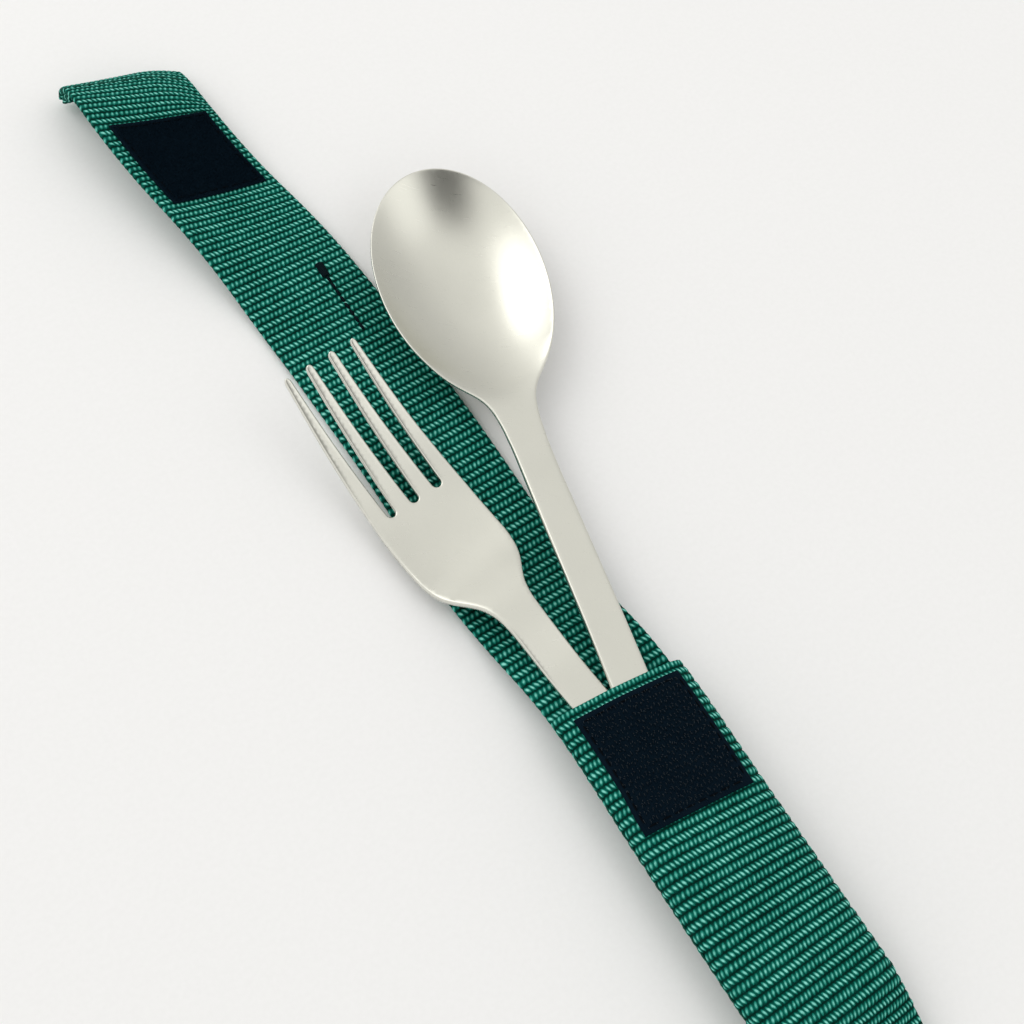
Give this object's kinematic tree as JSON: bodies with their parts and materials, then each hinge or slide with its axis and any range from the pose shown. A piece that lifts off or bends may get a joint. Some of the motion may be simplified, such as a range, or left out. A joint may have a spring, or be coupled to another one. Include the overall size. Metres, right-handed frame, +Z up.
{
  "type": "picnic cutlery",
  "caption": "Camping fork and spoon carried in a woven webbing strap with a sewn pocket and a hook-and-loop flap.",
  "frame": {"origin": "middle of the flat underside of the strap, in front of the pocket", "axes": "+X across the strap to the spoon's side, +Y along the strap towards the flap, +Z up from the surface it lies on"},
  "size_m": [0.0753, 0.2996, 0.0171],
  "materials": {
    "webbing": "woven, satin",
    "thread": "twisted thread",
    "tape": "matt hook and loop",
    "tape_thread": "twisted thread",
    "steel": "satin brushed"
  },
  "bodies": {
    "strap": {"back_webbing": "webbing", "strap_riser": "webbing", "pocket_front": "webbing", "pocket_seam_left": "thread", "pocket_seam_right": "thread", "pocket_end_seam": "thread", "hook_tape": "tape", "hook_tape_stitching": "tape_thread", "back_bar_tack": "thread"},
    "flap": {"flap_webbing": "webbing", "loop_tape": "tape", "loop_tape_stitching": "tape_thread"},
    "flap_tip": {"tip_webbing": "webbing", "tip_end_hem": "webbing", "tip_end_stitching": "thread"},
    "fork": {"fork": "steel"},
    "spoon": {"spoon": "steel"}
  },
  "joints": [
    {"name": "flap_fold", "type": "hinge", "parent": "strap", "child": "flap", "pos_m": [-0.00349, 0.074, 0.00628], "axis": [0.9802, 0, -0.1982], "range_deg": [0, 90]},
    {"name": "tip_curl", "type": "hinge", "parent": "flap", "child": "flap_tip", "pos_m": [-0.00798, 0.11, 0.01004], "axis": [0.9699, 0, -0.2433], "range_deg": [0, 100]},
    {"name": "fork_slide", "type": "slide", "parent": "strap", "child": "fork", "axis": [-0.0837, 0.9965, 0], "range_m": [-0.004, 0.044]},
    {"name": "spoon_slide", "type": "slide", "parent": "strap", "child": "spoon", "axis": [0.2419, 0.9703, 0], "range_m": [-0.008, 0.045]}
  ]
}
